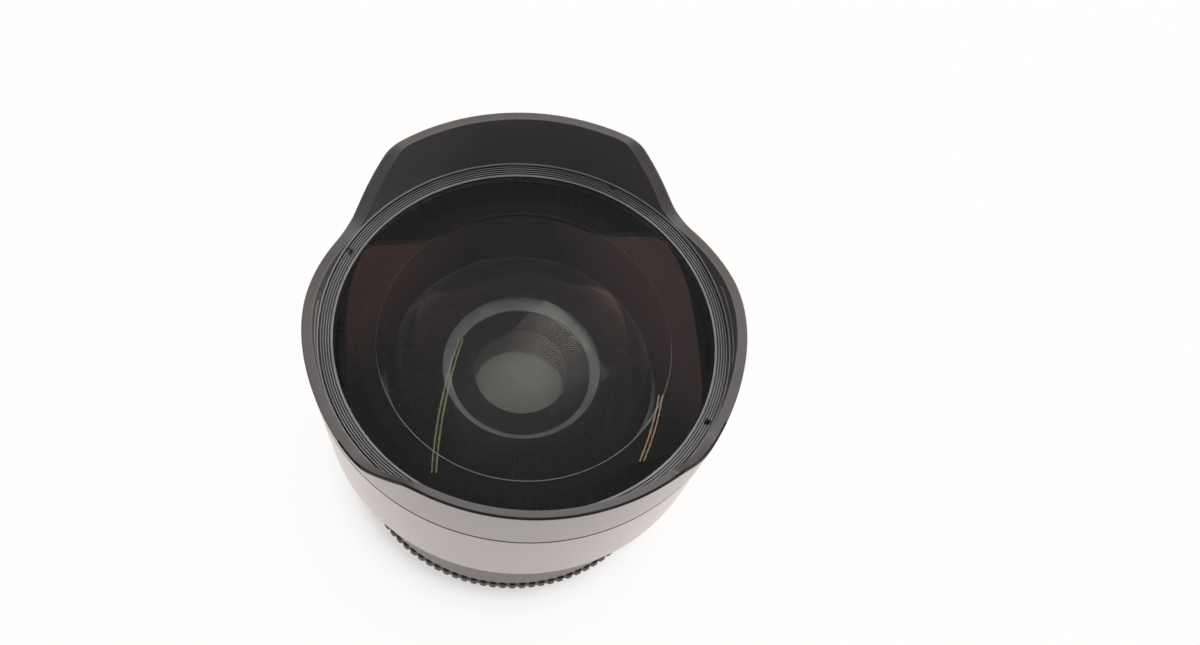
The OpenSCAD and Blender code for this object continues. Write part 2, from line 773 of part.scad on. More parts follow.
petal_hood();
main_barrel();
front_ring();
front_seal();
front_element();
seat_gasket();
front_cell();
front_cell_screws();
second_element();
second_retainer();
third_element();
fourth_element();
pair_mask();
pair_retainer();
rear_cell();
rear_cell_screws();
flare_stop();
rear_element();
rear_retainer();
rear_baffle();
bayonet_mount();
mount_screws();
neck_band();
band_screws();
index_dot();
thrust_washer();
lock_ring();
lock_pin();
lock_spring();
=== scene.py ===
"""Looks of a fisheye conversion lens that stands on its rear end: petal hood, domed front glass,
conical barrel and a ribbed lock ring. Shapes are worked out in millimetres round the lens axis."""

import bpy
import numpy as np
from mathutils import Matrix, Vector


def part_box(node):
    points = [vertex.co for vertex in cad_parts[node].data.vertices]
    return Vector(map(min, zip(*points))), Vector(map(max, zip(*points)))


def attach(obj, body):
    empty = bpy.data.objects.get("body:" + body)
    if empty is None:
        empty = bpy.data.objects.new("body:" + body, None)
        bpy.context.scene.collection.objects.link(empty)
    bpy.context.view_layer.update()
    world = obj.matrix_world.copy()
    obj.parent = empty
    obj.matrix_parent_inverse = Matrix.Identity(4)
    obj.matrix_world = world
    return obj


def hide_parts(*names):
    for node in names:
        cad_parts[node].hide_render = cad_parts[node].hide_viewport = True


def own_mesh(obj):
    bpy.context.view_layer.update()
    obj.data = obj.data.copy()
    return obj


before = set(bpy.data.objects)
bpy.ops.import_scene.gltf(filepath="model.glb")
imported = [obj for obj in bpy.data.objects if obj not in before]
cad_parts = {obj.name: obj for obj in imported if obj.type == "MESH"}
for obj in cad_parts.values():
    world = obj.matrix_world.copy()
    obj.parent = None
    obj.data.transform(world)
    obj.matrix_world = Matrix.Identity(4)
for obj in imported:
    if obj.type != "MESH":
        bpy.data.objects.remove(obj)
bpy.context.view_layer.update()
MM = 0.001
TURN = 2 * np.pi
CREASE = 40  # degrees between two faces over which their edge stays sharp
ARC_STEPS = 4  # steps of a rounded corner, where a shape asks for no other number
ARC_EXTRA = 3  # points of a rounded corner beyond its steps: the arc's last, one before and one after
NOISE_LOW, NOISE_HIGH = 0.3, 0.7  # span in which most of a noise lies


def level(node, end):
    """Height in millimetres of a node's foot (end 0) or top (end 1)."""
    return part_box(node)[end].z / MM


def reach(node):
    """Largest distance of a node from the axis, in millimetres, along +Y."""
    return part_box(node)[1].y / MM


# Levels and radii in millimetres, from the frame where a node gives them
tip_z = level("petal_hood", 1)
tip_r = reach("petal_hood")
skirt_z = level("petal_hood", 0)
seam_z = level("main_barrel", 1)
neck_z = level("main_barrel", 0)
seam_r = reach("main_barrel")
ring_z = level("front_ring", 1)
ring_low_z = level("front_ring", 0)
ring_r = reach("front_ring")
seat_z = level("front_element", 0)
front_r = reach("front_element")
band_z = level("neck_band", 0)
band_top_z = level("neck_band", 1)
neck_r = reach("neck_band")
lock_z = level("lock_ring", 0)
sleeve_top_z = level("lock_ring", 1)
rib_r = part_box("lock_ring")[1].x / MM
floor_z = level("second_element", 0)
second_top_z = level("second_element", 1)
second_r = reach("second_element")
pair_top_z = level("third_element", 1)
pair_joint_z = level("third_element", 0)
pair_r = reach("third_element")
mask_top_z = level("pair_mask", 1)
funnel_top_z = level("pair_retainer", 1)
funnel_r = reach("pair_retainer")
rear_z = level("rear_element", 0)
rear_top_z = level("rear_element", 1)
rear_r = reach("rear_element")
flare = (tip_r - seam_r) / (tip_z - seam_z)

# Sizes of the drawing that no box gives
front_curve_r = 62.0
glass_r = 33.9
glass_sink = 0.29
hollow_curve_r = 34.0
hollow_rim_r = 23.6
second_curve_r = 65.0
second_hollow_r = 45.0
second_rim_r = 14.3
cement_curve_r = 30.0
dish_curve_r = 60.0
lower_curve_r = 50.0
lower_t = 3
rear_dome_r = 45.0
skirt_in_r = 35.85
skirt_r = 36.85
barrel_in_r = 36.9
ring_bore_r = 36.45
ledge_r = 36.7
ledge_z = ring_z + 0.3
rim_t = 1.6
seam_gap = 0.15
seam_chamfer = 0.25
flare_z = band_top_z + 4.3
head_z = flare_z + 6.2
edge_z = head_z + 0.7
edge_r = seam_r - (seam_z - edge_z) * flare
neck_bore_r = 18.8
band_in_r = neck_r - 0.84
sleeve_r = band_in_r - 0.16
lock_in_r = sleeve_r - 0.72
tube_r = lock_in_r - 0.08
root_r = lock_in_r + 1.57
rib_top_z = lock_z + 2.0
pin_x = (22.5 + tube_r) / 2
pin_travel = 1.5
pin_hole_r = 1.05
play = 0.05
gasket_t = 0.2
cell_t = 1.8
retainer_wall = 1
cell_r = second_r + retainer_wall + cell_t
screw_hole_r = 0.83
mount_screw_circle_r = 20.3
grub_hole_r = 0.75
grub_z = level("band_screws", 0) + 0.7
dot_hole_r = 0.95
cut_past = 1  # by which a cutter stands out of the surface that it cuts
band_screw_turns = np.radians([85, 205, 325])


def rounded(corners, radii, steps=ARC_STEPS):
    """Closed outlines (n, k, 2) with every corner turned into an arc: the arc's tangent length is
    radius / tan(half the corner angle), held under a share of the shorter side, and its points run
    from the incoming side to the outgoing side about the centre on the bisector. A point a little
    before and after each arc keeps the shading of the flats flat. One outline (k, 2) counts as n = 1.
    Result (n, k * (steps + ARC_EXTRA), 2)."""
    side_share, guard, guard_share, limit = 0.4, 0.12, 0.1, 0.999999
    corners = np.asarray(corners, float)
    if corners.ndim == 2:
        corners = corners[None]
    back = np.roll(corners, 1, axis=1) - corners
    ahead = np.roll(corners, -1, axis=1) - corners
    back_len = np.linalg.norm(back, axis=2, keepdims=True)
    ahead_len = np.linalg.norm(ahead, axis=2, keepdims=True)
    u, v = back / back_len, ahead / ahead_len
    half = np.arccos(np.clip((u * v).sum(2, keepdims=True), -limit, limit)) / 2
    radius = np.broadcast_to(np.asarray(radii, float), corners.shape[1])[None, :, None]
    tangent = np.minimum(radius / np.tan(half), side_share * np.minimum(back_len, ahead_len))
    start, end = corners + u * tangent, corners + v * tangent
    bulge = tangent * np.tan(half)
    bisector = (u + v) / np.maximum(np.linalg.norm(u + v, axis=2, keepdims=True), 1e-9)
    centre = corners + bisector * bulge / np.sin(half)
    sweep = np.maximum(np.pi - 2 * half, 1e-6)
    s = np.linspace(0, 1, steps + 1)[None, None, :, None]
    w = sweep[:, :, None, :]
    from_start, from_end = (start - centre)[:, :, None], (end - centre)[:, :, None]
    arc = centre[:, :, None] + (np.sin((1 - s) * w) * from_start + np.sin(s * w) * from_end) / np.sin(w)
    before = start + u * np.minimum(guard, guard_share * (back_len - tangent))
    after = end + v * np.minimum(guard, guard_share * (ahead_len - tangent))
    path = np.concatenate([before[:, :, None], arc, after[:, :, None]], axis=2)
    return path.reshape(len(corners), -1, 2)


def piece(name, points, faces, uv=None, material_of=None, crease=CREASE):
    """Mesh object from points in millimetres and index rows, smooth but for edges over crease degrees."""
    mesh = bpy.data.meshes.new(name)
    corners = np.concatenate([f.ravel() for f in faces])
    sizes = np.concatenate([np.full(len(f), f.shape[1]) for f in faces])
    starts = np.concatenate([[0], np.cumsum(sizes)[:-1]])
    mesh.vertices.add(len(points))
    mesh.vertices.foreach_set("co", (points * MM).ravel())
    mesh.loops.add(len(corners))
    mesh.loops.foreach_set("vertex_index", corners.astype(np.int32))
    mesh.polygons.add(len(sizes))
    mesh.polygons.foreach_set("loop_start", starts.astype(np.int32))
    if material_of is not None:
        mesh.polygons.foreach_set("material_index", material_of.astype(np.int32))
    if uv is not None:
        layer = mesh.uv_layers.new(name="lathe")
        layer.data.foreach_set("uv", uv.ravel())
    mesh.update(calc_edges=True)
    mesh.validate()
    mesh.shade_smooth()
    mesh.set_sharp_from_angle(angle=np.radians(crease))
    obj = bpy.data.objects.new(name, mesh)
    bpy.context.scene.collection.objects.link(obj)
    return obj


def lathe(name, outline, angles=360, bands=None, crease=CREASE):
    """Ring-shaped surface: point (a, s) lies at radius outline[a, s, 0] and height outline[a, s, 1] in
    the direction of angle a, and the outline runs anticlockwise, so faces point outwards. outline is
    (k, 2), the same all round, or (n, k, 2) with angles given as n values. bands gives each outline
    step its material, the same all round or a row for each angle."""
    if np.ndim(angles) == 0:
        angles = np.arange(angles) * TURN / angles
    if outline.ndim == 2:
        outline = outline[None]
    outline = np.broadcast_to(outline, (len(angles),) + outline.shape[1:])
    n, k = outline.shape[:2]
    r, z = outline[..., 0], outline[..., 1]
    x, y = r * np.cos(angles)[:, None], r * np.sin(angles)[:, None]
    points = np.stack([x, y, z], axis=2).reshape(-1, 3)
    i, j = np.meshgrid(np.arange(n), np.arange(k), indexing="ij")
    i2, j2 = (i + 1) % n, (j + 1) % k
    quads = np.stack([i * k + j, i2 * k + j, i2 * k + j2, i * k + j2], axis=2).reshape(-1, 4)
    along = np.concatenate([[0], np.cumsum(np.linalg.norm(np.diff(outline[0], axis=0), axis=1))])
    along = np.append(along, along[-1] + np.linalg.norm(outline[0, 0] - outline[0, -1]))
    girth = np.append(angles, angles[0] + TURN) * r.mean()
    uv = np.stack([
        np.stack([girth[i + a], along[j + s]], 2) for a, s in ((0, 0), (1, 0), (1, 1), (0, 1))
    ], axis=2)
    material_of = None if bands is None else np.broadcast_to(bands, (n, k)).ravel()
    return piece(name, points, [quads], uv, material_of, crease)


def turned(name, corners, radii, angles=256):
    """Ring with the same rounded outline all round."""
    return lathe(name, rounded(corners, radii)[0], angles)


def lens(name, outline, bands, angles=256):
    """Solid of revolution whose outline starts at the rear pole and ends at the front pole: the rings
    between are a lathe grid, and a fan closes each pole. bands gives each outline step its material."""
    angles = np.arange(angles) * TURN / angles
    n, k = len(angles), len(outline) - 2
    r, z = outline[1:-1, 0], outline[1:-1, 1]
    rings = np.stack([np.outer(np.cos(angles), r), np.outer(np.sin(angles), r), np.tile(z, (n, 1))], axis=2)
    points = np.concatenate([rings.reshape(-1, 3), [[0, 0, outline[0, 1]], [0, 0, outline[-1, 1]]]])
    i, j = np.meshgrid(np.arange(n), np.arange(k - 1), indexing="ij")
    i2 = (i + 1) % n
    quads = np.stack([i * k + j, i2 * k + j, i2 * k + j + 1, i * k + j + 1], axis=2).reshape(-1, 4)
    a = np.arange(n)
    a2 = (a + 1) % n
    rear = np.stack([np.full(n, n * k), a2 * k, a * k], axis=1)
    front = np.stack([np.full(n, n * k + 1), a * k + k - 1, a2 * k + k - 1], axis=1)
    material_of = np.concatenate([np.tile(bands[1:-1], n), np.full(n, bands[0]), np.full(n, bands[-1])])
    return piece(name, points, [quads, rear, front], None, material_of, crease=20)


def cap(curve_r, rim_r, rim_z, bulge, count):
    """Arc of a ball through (rim_r, rim_z), from the axis out to the rim, count steps of equal angle.
    bulge 1 rises at the axis and -1 sinks there."""
    centre_z = rim_z - bulge * np.sqrt(curve_r ** 2 - rim_r ** 2)
    angle = np.linspace(0, np.arcsin(rim_r / curve_r), count + 1)
    return np.stack([curve_r * np.sin(angle), centre_z + bulge * curve_r * np.cos(angle)], axis=1)


def bar(section, low, high, place):
    """Prism with outline section (k, 2), anticlockwise in u and v, from low to high on w. place has the
    directions of u, v and w and then the offset as its rows."""
    k = len(section)
    points = np.concatenate([np.column_stack([section, np.full(k, w)]) for w in (low, high)])
    a = np.arange(k)
    b = (a + 1) % k
    sides = np.stack([a, b, b + k, a + k], axis=1)
    return points @ place[:3] + place[3], [sides, a[None, ::-1], a[None] + k]


def disc(r, count=32):
    """Circle of radius r about the origin, count points, anticlockwise."""
    a = np.arange(count) * TURN / count
    return np.stack([r * np.cos(a), r * np.sin(a)], axis=1)


def upright(x, y, turn=0.0):
    """Rows that place u, v, w along a turned x, y and z at (x, y, 0)."""
    c, s = np.cos(turn), np.sin(turn)
    return np.array([[c, s, 0], [-s, c, 0], [0, 0, 1], [x, y, 0]], float)


def circle_of(count, r, start=0.0):
    """Upright places of count bars at radius r, the first of them at angle start."""
    return [upright(r * np.cos(a), r * np.sin(a)) for a in start + np.arange(count) * TURN / count]


def outward(turn, r, z):
    """Rows that place w along the radius at angle turn, u round the axis and v up, at (r, z)."""
    c, s = np.cos(turn), np.sin(turn)
    return np.array([[-s, c, 0], [0, 0, 1], [c, s, 0], [r * c, r * s, z]], float)


def carve(obj, solids):
    """Cuts the solids, (points, faces) in millimetres, out of a piece and keeps the cut mesh."""
    counts = np.cumsum([0] + [len(p) for p, _ in solids])
    by_size = {}
    for (_, faces), offset in zip(solids, counts):
        for rows in faces:
            by_size.setdefault(rows.shape[1], []).append(rows + offset)
    cutter = piece("cutter", np.concatenate([p for p, _ in solids]),
                   [np.concatenate(rows) for rows in by_size.values()])
    cut = obj.modifiers.new("cut", "BOOLEAN")
    cut.operation, cut.solver, cut.object = "DIFFERENCE", "EXACT", cutter
    bpy.context.view_layer.update()
    whole = obj.data
    result = obj.evaluated_get(bpy.context.evaluated_depsgraph_get())
    obj.data = bpy.data.meshes.new_from_object(result)
    obj.data.name = obj.name
    obj.modifiers.clear()
    bpy.data.meshes.remove(whole)
    cutter_mesh = cutter.data
    bpy.data.objects.remove(cutter)
    bpy.data.meshes.remove(cutter_mesh)
    obj.data.shade_smooth()
    obj.data.set_sharp_from_angle(angle=np.radians(CREASE))


def dress(obj, body, slot, *materials, replaces=()):
    """Gives a piece its materials, the body that it rides on and the nodes that it stands for."""
    for material in materials:
        obj.data.materials.append(material)
    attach(obj, body)
    if replaces:
        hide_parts(*replaces)


class Finish:
    """A node material with its shader and a few short ways to add and join nodes."""

    def __init__(self, name, **sockets):
        self.material = bpy.data.materials.new(name)
        self.material.use_nodes = True
        self.tree = self.material.node_tree
        self.shader = self.tree.nodes["Principled BSDF"]
        for key, value in sockets.items():
            self.shader.inputs[key.replace("_", " ")].default_value = value

    def add(self, kind, links=(), **sockets):
        """New node: each keyword sets a socket or, where there is none of that name, a property."""
        node = self.tree.nodes.new(kind)
        for key, value in sockets.items():
            key = key.replace("_", " ")
            if key in node.inputs:
                node.inputs[key].default_value = value
            else:
                setattr(node, key.replace(" ", "_"), value)
        for socket, output in links:
            self.tree.links.new(output, node.inputs[socket])
        return node

    def spot(self, scale=(1, 1, 1)):
        """Coordinates of the piece itself, stretched by scale."""
        place = self.add("ShaderNodeTexCoord")
        return self.add("ShaderNodeMapping", [("Vector", place.outputs["Object"])], Scale=scale).outputs[0]

    def noise(self, scale, detail=3.0, rough=0.5, stretch=(1, 1, 1)):
        """Soft noise, scale to the metre."""
        node = self.add("ShaderNodeTexNoise", [("Vector", self.spot(stretch))],
                        Scale=scale, Detail=detail, Roughness=rough)
        return node.outputs["Fac"]

    def lines(self, scale):
        """Noise that depends on the distance from the axis, scale to the millimetre, as turning leaves it."""
        node = self.add("ShaderNodeTexNoise", [("W", self.radius())],
                        noise_dimensions="1D", Scale=scale, Detail=2.0)
        return node.outputs["Fac"]

    def shades(self, fac, *stops):
        """Colour ramp through (position, colour) stops."""
        ramp = self.add("ShaderNodeValToRGB", [("Fac", fac)])
        while len(ramp.color_ramp.elements) < len(stops):
            ramp.color_ramp.elements.new(0.5)
        for element, (at, colour) in zip(ramp.color_ramp.elements, stops):
            element.position = at
            element.color = tuple(colour) + (1,)
        return ramp.outputs["Color"]

    def tones(self, noise, low, high):
        """Colour that runs from low to high over a noise."""
        return self.shades(noise, (NOISE_LOW, low), (NOISE_HIGH, high))

    def between(self, noise, low, high):
        """Number that runs from low to high over a noise."""
        node = self.add("ShaderNodeMapRange", [("Value", noise)],
                        From_Min=NOISE_LOW, From_Max=NOISE_HIGH, To_Min=low, To_Max=high)
        return node.outputs["Result"]

    def way(self, value, start, end):
        """Share of the way from start to end at which value lies, held between 0 and 1."""
        node = self.add("ShaderNodeMapRange", [("Value", value)], From_Min=start, From_Max=end)
        return node.outputs["Result"]

    def mixed(self, fac, first, second):
        """Colour that runs from first, an output, to second, a fixed colour, as fac runs from 0 to 1."""
        node = self.add("ShaderNodeMix", [(0, fac), (6, first)], data_type="RGBA")
        node.inputs[7].default_value = tuple(second) + (1,)
        return node.outputs[2]

    def math(self, operation, a, b):
        """Result of a sum on two outputs or numbers."""
        node = self.add("ShaderNodeMath", operation=operation)
        for socket, value in zip(node.inputs, (a, b)):
            if isinstance(value, (int, float)):
                socket.default_value = value
            else:
                self.tree.links.new(value, socket)
        return node.outputs[0]

    def put(self, socket, output):
        """Joins an output to the shader."""
        self.tree.links.new(output, self.shader.inputs[socket])

    def relief(self, height, strength, distance):
        """Bump from a height, distance in millimetres."""
        bump = self.add("ShaderNodeBump", [("Height", height)], Strength=strength, Distance=distance * MM)
        self.put("Normal", bump.outputs["Normal"])

    def radius(self, shift=(0, 0, 0)):
        """Distance in millimetres from the lens axis, or from the upright line at minus shift."""
        place = self.add("ShaderNodeTexCoord")
        flat = self.add("ShaderNodeVectorMath", [(0, place.outputs["Object"])], operation="MULTIPLY_ADD")
        flat.inputs[1].default_value, flat.inputs[2].default_value = (1 / MM, 1 / MM, 0), shift
        length = self.add("ShaderNodeVectorMath", [(0, flat.outputs[0])], operation="LENGTH")
        return length.outputs["Value"]


def grey(tone, warm=0.0):
    """Near-neutral colour, a little warmer as warm grows."""
    return (tone * (1 + warm), tone, tone * (1 - warm))


def satin(name, tone, rough, specular=0.5, grain=0.6, dust=True, coat=0.0):
    """Black satin coat: two close tones in soft clouds, fine grain in relief and a few pale dust specks."""
    speck_size, speck_share, speck_colour = 0.035, 0.62, (0.2, 0.19, 0.18)
    f = Finish(name, Specular_IOR_Level=specular, Coat_Weight=coat, Coat_Roughness=0.2, Coat_IOR=1.6,
               Coat_Tint=(1.0, 0.97, 0.96, 1), Specular_Tint=(1.0, 0.95, 0.94, 1))
    clouds = f.noise(90, 4)
    speckle = f.noise(5200, 2, 0.6)
    tones = f.tones(clouds, grey(tone * 0.93), grey(tone * 1.07, 0.02))
    if dust:
        cells = f.add("ShaderNodeTexVoronoi", [("Vector", f.spot())], Scale=420.0, Randomness=1.0)
        fleck = f.math("MULTIPLY", f.math("LESS_THAN", cells.outputs["Distance"], speck_size),
                       f.math("GREATER_THAN", f.noise(260, 1), speck_share))
        tones = f.mixed(fleck, tones, speck_colour)
    f.put("Base Color", tones)
    blotches = f.math("ADD", f.math("MULTIPLY", clouds, 0.6), f.math("MULTIPLY", speckle, 0.4))
    f.put("Roughness", f.between(blotches, rough - 0.025, rough + 0.025))
    f.relief(speckle, grain, 0.02)
    return f.material


def turned_black(name, tone, rough, specular=0.5):
    """Black turned metal: fine rings that follow the distance from the axis, with soft clouds over them."""
    f = Finish(name, Specular_IOR_Level=specular)
    lines = f.lines(20.0)
    f.put("Base Color", f.tones(f.noise(140, 3), grey(tone * 0.8), grey(tone * 1.2)))
    f.put("Roughness", f.between(lines, rough - 0.06, rough + 0.06))
    f.relief(lines, 0.35, 0.01)
    return f.material


def optical(name, tint, index, gleam=(1, 1, 1), haze=0.0, painted_falloff=None):
    """Polished glass: gleam weakens its reflections as a coating does, soft smears barely dull it, and
    haze is the small share of light that dust scatters. The last argument gives two radii in millimetres,
    between which the tint darkens towards the rim, as painted shade, to the share that follows."""
    f = Finish(name, Base_Color=tint + (1,), Roughness=0.0, IOR=index, Transmission_Weight=1 - haze,
               Specular_Tint=gleam + (1,))
    smear = f.noise(60, 3, 0.6, (1, 2.5, 1))
    f.put("Roughness", f.between(smear, 0.0, 0.006))
    if painted_falloff:
        start_r, end_r, share = painted_falloff
        # Painted shade: the tint darkens towards the rim
        falloff_tint = np.array(tint) * share
        f.put("Base Color", f.shades(f.way(f.radius(), start_r, end_r), (0.0, tint), (1.0, falloff_tint)))
    return f.material


def ground(name, tone):
    """Finely ground glass edge, dull and grainy: pale towards -Y as a painted highlight, and near black from
    Y 0 on as painted shade.
    """
    painted_lit_y, painted_dark_y, painted_dark = -10 * MM, 0.0, grey(0.02)
    f = Finish(name, Specular_IOR_Level=0.4)
    speckle = f.noise(6000, 2)
    place = f.add("ShaderNodeTexCoord")
    split = f.add("ShaderNodeSeparateXYZ", [("Vector", place.outputs["Object"])])
    lit_tones = f.tones(speckle, grey(tone * 0.8), grey(tone * 1.15))
    # Painted highlight pale up to 10 mm towards -Y, fading to painted near-black shade at Y 0 and beyond
    f.put("Base Color", f.mixed(f.way(split.outputs["Y"], painted_lit_y, painted_dark_y), lit_tones, painted_dark))
    f.put("Roughness", f.between(speckle, 0.5, 0.7))
    f.relief(speckle, 0.4, 0.01)
    return f.material


def metal(name, tone, rough):
    """Bright turned metal with fine rings and faint clouding."""
    f = Finish(name, Metallic=1.0)
    lines = f.lines(14.0)
    f.put("Base Color", f.tones(f.noise(160, 4), grey(tone * 0.9), grey(tone * 1.06)))
    f.put("Roughness", f.between(lines, rough - 0.07, rough + 0.08))
    f.relief(lines, 0.3, 0.008)
    return f.material


hood_satin = satin("hood_satin", tone=0.09, rough=0.3, specular=0.7, grain=0.25, coat=0.7)
barrel_satin = satin("barrel_satin", tone=0.075, rough=0.28, specular=0.8, grain=0.2, coat=1.0)
hood_lining = satin("hood_lining", tone=0.108, rough=0.6, specular=0.4)
# Pale satin for the ledge's edge and the clip grooves' foot: a painted highlight along those edges
ledge_highlight = satin("ledge_highlight", tone=0.24, rough=0.35, specular=0.6, dust=False)
band_satin = satin("band_satin", tone=0.06, rough=0.34, specular=0.6, grain=0.25, coat=0.42)
grip_black = satin("grip_black", tone=0.05, rough=0.45, grain=0.9)
ring_black = turned_black("ring_black", tone=0.17, rough=0.36, specular=0.6)
cell_black = turned_black("cell_black", tone=0.012, rough=0.55, specular=0.35)
mask_black = turned_black("mask_black", tone=0.006, rough=0.6, specular=0.3)
edge_black = satin("edge_black", tone=0.003, rough=0.6, specular=0.03, grain=0.1, dust=False)
funnel_grey = turned_black("funnel_grey", tone=0.28, rough=0.45)
seal_rubber = satin("seal_rubber", tone=0.012, rough=0.7, specular=0.3, grain=0.9)
# The inner glasses' darkening to about 0.43 is painted shade: it dims the floor seen through the lens, and
# inner_coat darkens further towards the rim
front_tint, second_tint, inner_shade_tint = (0.97, 0.985, 0.97), (0.97, 0.98, 0.96), (0.43, 0.445, 0.425)
front_index, inner_index = 1.75, 1.6
inner_gleam = (0.03, 0.035, 0.03)
front_coat = optical("front_coat", front_tint, front_index, haze=0.010)
hollow_coat = optical("hollow_coat", front_tint, front_index, gleam=(0.05, 0.03, 0.03))
second_coat = optical("second_coat", second_tint, inner_index, gleam=(0.03, 0.032, 0.03), haze=0.009)
second_rear_coat = optical("second_rear_coat", second_tint, inner_index, gleam=(0.02, 0.02, 0.02))
inner_coat = optical("inner_coat", inner_shade_tint, inner_index, inner_gleam, painted_falloff=(4.0, 9.5, 0.72))
inner_rear_coat = optical("inner_rear_coat", inner_shade_tint, inner_index, inner_gleam)
ground_edge = ground("ground_edge", tone=0.4)
mount_metal = metal("mount_metal", tone=0.62, rough=0.3)
screw_steel = metal("screw_steel", tone=0.5, rough=0.32)
spring_steel = metal("spring_steel", tone=0.6, rough=0.25)
washer_grey = satin("washer_grey", tone=0.09, rough=0.5, specular=0.4)
dot_white = satin("dot_white", tone=0.75, rough=0.5, specular=0.4, dust=False)


# Petal hood
def cone(z):
    """Outer radius of hood and barrel at height z."""
    return seam_r + (z - seam_z) * flare


lining_slope = (cone(tip_z + 1) - rim_t - ledge_r) / (tip_z + 1 - ledge_z)


def lining(z):
    """Inner radius of the hood above its ledge at height z."""
    return ledge_r + (z - ledge_z) * lining_slope


# The petals' outline over the distance from the plane y = 0: a shallow peak on the short petal, a
# valley, a steep side and the level tip of the long petal; the last corners only close it far above
rise, drop = np.tan(np.radians(53.5)), np.tan(np.radians(14))
half_w = 32.7
peak_z = tip_z - 6.3
valley_y = (peak_z - tip_z + rise * half_w) / (rise + drop)
valley_z = peak_z - drop * valley_y
past_r, past_z = tip_r + 5, tip_z + 60
rim_corners = [
    [-valley_y, valley_z], [0, peak_z], [valley_y, valley_z], [half_w, tip_z], [past_r, tip_z],
    [past_r, past_z], [-valley_y - 20, past_z]
]
rim_steps, used_corners = 40, 5
peak_round, valley_round, tip_round, sharp = 40, 5, 1.7, 0.1
rim_radii = [sharp, peak_round, valley_round, tip_round, sharp, sharp, sharp]
rim_path = rounded(rim_corners, rim_radii, rim_steps)[0][:used_corners * (rim_steps + ARC_EXTRA)]
rim_path = rim_path[(rim_path[:, 0] > -12) & (rim_path[:, 0] < past_r - 1)]


def rim_level(wall, angles):
    """Height at which a wall of radius wall(z) meets the petals' outline, found by repeated substitution."""
    z = np.full(len(angles), tip_z)
    for _ in range(25):
        z = np.interp(np.abs(wall(z) * np.sin(angles)), rim_path[:, 0], rim_path[:, 1])
    return z


# The cap-clip grooves lie inside the short petals, round the directions 0 and half a turn
clip_half = np.radians(12.3)
clip_low, clip_high, clip_r = ledge_z + 1.2, ledge_z + 2.0, ledge_r + 0.7
clip_slope = 0.02
end_slope = 0.0008
clip_ends = np.array([
    middle + end * clip_half + step
    for middle in (0, np.pi) for end in (-1, 1) for step in (-end_slope, end_slope)
]) % TURN
hood_angles = np.sort(np.concatenate([np.arange(720) * TURN / 720, clip_ends]))
outer_z, inner_z = rim_level(cone, hood_angles), rim_level(lining, hood_angles)
clipped = np.abs((hood_angles + np.pi / 2) % np.pi - np.pi / 2) <= clip_half


def ringed(r, z):
    """Corner column at radius r and height z for every angle of the hood."""
    return np.stack(np.broadcast_arrays(r, z, hood_angles)[:2], axis=1)


def up_wall(share):
    """Height at a share of the way from the ledge to the rim, for every angle of the hood."""
    return ledge_z + share * (inner_z - ledge_z)


clip_top = np.where(clipped, clip_high, up_wall(0.7))
clip_foot = np.where(clipped, clip_low, up_wall(0.3))
mid_top = np.where(clipped, clip_high - clip_slope, up_wall(0.62))
mid_foot = np.where(clipped, clip_low + clip_slope, up_wall(0.38))
clip_depth_top = np.where(clipped, clip_r, lining(mid_top))
clip_depth_foot = np.where(clipped, clip_r, lining(mid_foot))
hood_foot_z = seam_z + 0.4
hood_corners = np.stack([
    ringed(skirt_in_r, skirt_z), ringed(skirt_r, skirt_z), ringed(skirt_r, seam_z + seam_gap),
    ringed(seam_r - seam_chamfer, seam_z + seam_gap), ringed(cone(hood_foot_z), hood_foot_z),
    ringed(cone(outer_z), outer_z), ringed(lining(inner_z), inner_z),
    ringed(lining(clip_top), clip_top), ringed(clip_depth_top, mid_top),
    ringed(clip_depth_foot, mid_foot), ringed(lining(clip_foot), clip_foot),
    ringed(ledge_r, ledge_z), ringed(ring_bore_r, ring_z), ringed(ring_bore_r, ring_low_z),
    ringed(skirt_in_r, ring_low_z)
], axis=1)
hood_radii = [0.05] * 4 + [0.1, 0.25, 0.15] + [0.03] * 4 + [0.04] * 2 + [0.05] * 2
rim_corner, clip_top_corner, clip_foot_corner, ledge_corner = 5, 7, 9, 11
per_corner = ARC_STEPS + ARC_EXTRA
last = per_corner - 1
hood_bands = np.repeat([0] * 6 + [1] * 9, per_corner)
# The ledge's edge step takes the pale satin: a painted highlight
hood_bands[ledge_corner * per_corner + last] = 2
hood_bands = np.tile(hood_bands, (len(hood_angles), 1))
clip_foot_step = clip_foot_corner * per_corner + last
# Inside the cap-clip grooves the faces take near-black mask_black, painted shade in the recess, and their
# foot step the pale satin, a painted highlight
hood_bands[clipped, clip_top_corner * per_corner + last:clip_foot_step] = 3
hood_bands[clipped, clip_foot_step] = 2
# On the near side the rim's rounded outer corner takes near-black cell_black: a painted dark reflection along
# that edge
painted_dark_rim_side = np.sin(hood_angles) < -0.5
hood_bands[painted_dark_rim_side, rim_corner * per_corner:rim_corner * per_corner + last] = 4
hood = lathe("hood", rounded(hood_corners, hood_radii), hood_angles, hood_bands)
dress(hood, "head", "satin_black", hood_satin, hood_lining, ledge_highlight, mask_black, cell_black,
      replaces=["petal_hood"])

